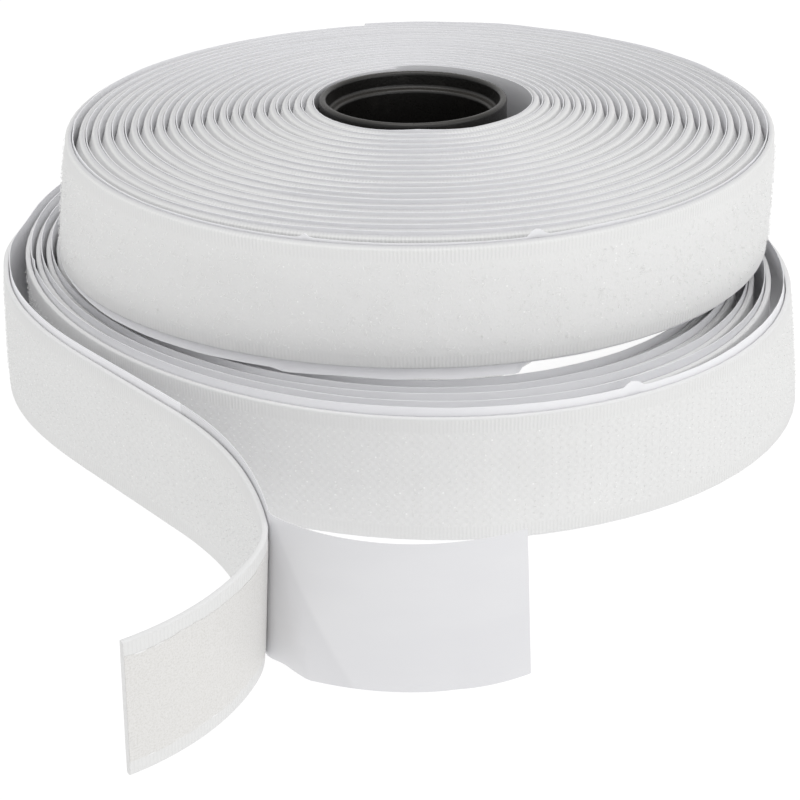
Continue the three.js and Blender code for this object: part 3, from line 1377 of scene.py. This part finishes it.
    def lean(self, path: HookPath, distance: float, height: float) -> Shift:
        """Leans the outermost turn, whose foot bulges on one side, and the free end beyond it.

        Args:
            path: the routes of the tape and its liner.
            distance: length along the tape.
            height: height of the point.

        Returns:
            The shift to the left and the rise.
        """
        low = 1 - height / self.tape.liner_width
        past = distance - path.left_roll
        out = 0.0
        if -path.turn < past < 0:
            bearing = path.tape.bearing(distance, self.winding.axis)
            share = self.side_head + (1 - self.side_head) * low
            out = self.side_bulge * near(bearing, self.side_bearing, self.side_power) * share
            out -= self.side_dip * near(bearing, self.dip_bearing, self.side_power) * (1 - low)
        elif past >= 0:
            swing = smooth(past, *self.lead_start) * smooth(past, *self.lead_stop)
            out = self.lead_bulge * swing * (self.lead_head + (1 - self.lead_head) * low)
            out += self.tail_lean * low * smooth(distance, path.peel - self.tail_reach, path.peel)
        return -out, 0.0

    def ripple(self, path: HookPath, distance: float, height: float) -> Shift:
        """Ripples the liner: its edges dip and lean, and its foot creases where it folds off the tape.

        Args:
            path: the routes of the tape and its liner.
            distance: length along the liner.
            height: height of the point.

        Returns:
            The shift to the left and the rise.
        """
        upper, lower = self.tape.edges(height)
        quick = self.quick.at(distance)
        rise = -upper * (self.head_dip + self.slow.at(distance) + quick)
        rise += lower * (self.foot_rise + quick)
        shift = upper * self.sway.at(distance)
        if path.left_roll - path.turn < distance < path.left_roll:
            top = along(self.upper_edge, path.liner.bearing(distance, self.winding.axis))
            rise += upper * top
            shift += upper * self.curl * top
        past, low = distance - path.peel, 1 - height / self.tape.liner_width
        crease = (self.crease_head + self.crease_slant * low) * MM
        tent = min(past / crease, (self.fold_reach - past) / (self.fold_reach - crease))
        out = self.fold_bulge * low * max(tent, 0.0)
        out -= self.tail_lean * low * smooth(past, 0, self.tail_return)
        out += self.film_lean * low * smooth(past, *self.film_span)
        return self.lean(path, distance, height)[0] + shift * MM - out, rise * MM

    def coat_edge(self, path: HookPath, distance: float, height: float) -> Shift:
        """Lets the adhesive lean with the tape, with edges that wander along the selvedges.

        Args:
            path: the routes of the tape and its liner.
            distance: length along the tape.
            height: height of the point.

        Returns:
            The shift to the left and the rise.
        """
        middle = self.tape.margin + self.tape.width / 2
        side = 1.0 if height > middle else -1.0
        close = smooth(abs(height - middle) / self.tape.width, *self.coat_span)
        drift = self.coat_slow.at(distance, side) + self.coat_quick.at(distance, side)
        return self.lean(path, distance, height)[0], side * close * drift * MM

    def hooks(
        self, name: str, route: Route, start: float, end: float, yarn: bpy.types.Material, lean: Wave,
    ) -> bpy.types.Object:
        """Plants columns of hooks, each turned the other way from the one before.

        Args:
            name: the piece's name.
            route: the tape's route.
            start: length where the columns start.
            end: length where they end.
            yarn: the hooks' finish.
            lean: the tape's lean.

        Returns:
            The hooks.
        """
        draw = random.Random(self.seed)
        low = self.tape.selvedge + self.hook_margin
        count = int((self.tape.width - 2 * low) / self.row)
        places = []
        for i in range(int((end - start) / self.column)):
            for j in range(count + 1):
                along_row = i + 0.5 + draw.uniform(-self.column_jitter, self.column_jitter)
                across = j + self.row_stagger * (i % 2) + draw.uniform(-self.row_jitter, self.row_jitter)
                distance = start + along_row * self.column
                height = self.tape.margin + low + across * self.row
                spin = draw.gauss(0, self.hook_spread) + (math.pi if i % 2 else 0.0)
                size = draw.uniform(*self.hook_sizes)
                offset = self.field + self.hook_root + lean(distance, height)[0]
                places.append(stand(route, distance, offset, height, spin, size))
        return plant(name, HOOK_BEND, places, yarn)


# Stage


@dataclass(frozen=True)
class Lamp:
    """Soft square light, with its place from the part's middle in metres and its power in watts."""

    name: str
    spot: tuple[float, float, float]
    size: float
    power: float

    def hang(self, middle: Vector) -> None:
        """Hangs the light.

        Args:
            middle: the point that it faces.
        """
        lamp = bpy.data.lights.new(self.name, "AREA")
        lamp.size = self.size
        lamp.energy = self.power
        rig = bpy.data.objects.new(self.name, lamp)
        rig.location = middle + Vector(self.spot)
        rig.rotation_euler = (-Vector(self.spot)).to_track_quat("-Z", "Y").to_euler()
        bpy.context.scene.collection.objects.link(rig)


@dataclass(frozen=True)
class Stage:
    """Pale floor, soft light and a camera at the photograph's angle."""

    focal_px: float = 2000.0
    image_px: float = 800.0
    sensor_mm: float = 36.0
    nearest: float = 10 * MM
    offset: tuple[float, float, float] = (0.997 * MM, -326.221 * MM, 150.116 * MM)
    pitch: float = math.radians(26.7202)
    yaw: float = math.radians(-0.672)
    roll: float = math.radians(-0.7357)
    floor_size: float = 3.0
    floor_drop: float = 0.02 * MM
    sky: float = 0.66
    aim: float = 20 * MM
    lamps: tuple[Lamp, ...] = (
        Lamp("key", (0.6, -0.35, 0.45), 0.5, 0.75),
        Lamp("front", (0.3, -0.7, 0.1), 0.5, 0.4),
        Lamp("top", (0.0, -0.1, 0.8), 0.7, 2.1),
    )

    def build(self, axis: Vector) -> None:
        """Builds the stage.

        Args:
            axis: plan point of the cores' axis.
        """
        self.camera(axis)
        self.floor(axis)
        self.lights(axis)

    def camera(self, axis: Vector) -> None:
        """Places the camera.

        Args:
            axis: plan point of the cores' axis.
        """
        lens = bpy.data.cameras.new("camera")
        lens.sensor_width = self.sensor_mm
        lens.lens = self.focal_px / self.image_px * self.sensor_mm
        lens.clip_start = self.nearest
        camera = bpy.data.objects.new("camera", lens)
        bpy.context.scene.collection.objects.link(camera)
        level = Vector((math.sin(self.yaw), math.cos(self.yaw), 0.0))
        forward = level * math.cos(self.pitch) - Vector((0, 0, math.sin(self.pitch)))
        right = Vector((math.cos(self.yaw), -math.sin(self.yaw), 0.0))
        up = right.cross(forward)
        tilted = right * math.cos(self.roll) + up * math.sin(self.roll)
        up = up * math.cos(self.roll) - right * math.sin(self.roll)
        turn = Matrix((tilted, up, -forward)).transposed().to_4x4()
        camera.matrix_world = Matrix.Translation(axis.to_3d() + Vector(self.offset)) @ turn
        bpy.context.scene.camera = camera

    def floor(self, axis: Vector) -> None:
        """Lays the floor under the part.

        Args:
            axis: plan point of the floor's middle.
        """
        bm = bmesh.new()
        bmesh.ops.create_grid(bm, x_segments=1, y_segments=1, size=self.floor_size)
        bmesh.ops.translate(bm, verts=bm.verts[:], vec=(axis.x, axis.y, -self.floor_drop))
        make_object("floor", bm, [StageFinish().material()])

    def lights(self, axis: Vector) -> None:
        """Lights the sky and hangs the lamps round the part.

        Args:
            axis: plan point that they face.
        """
        world = bpy.data.worlds.new("studio")
        world.use_nodes = True
        sky = world.node_tree.nodes["Background"]
        sky.inputs["Color"].default_value = (1.0, 1.0, 1.0, 1.0)
        sky.inputs["Strength"].default_value = self.sky
        bpy.context.scene.world = world
        bpy.context.scene.view_settings.view_transform = "Standard"
        middle = Vector((axis.x, axis.y, self.aim))
        for lamp in self.lamps:
            lamp.hang(middle)


def main() -> None:
    """Builds the tape set and its stage."""
    logging.basicConfig(level=logging.INFO, format="%(name)s %(message)s")
    low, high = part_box("loop_core")
    axis = ((low + high) / 2).to_2d()
    Stage().build(axis)
    winding, tape = Winding(axis), Tape()
    pieces = LoopRoll(winding, tape).build() + HookRoll(winding, tape).build()
    LOG.info("%d pieces", len(pieces))


if __name__ == "__main__":
    main()
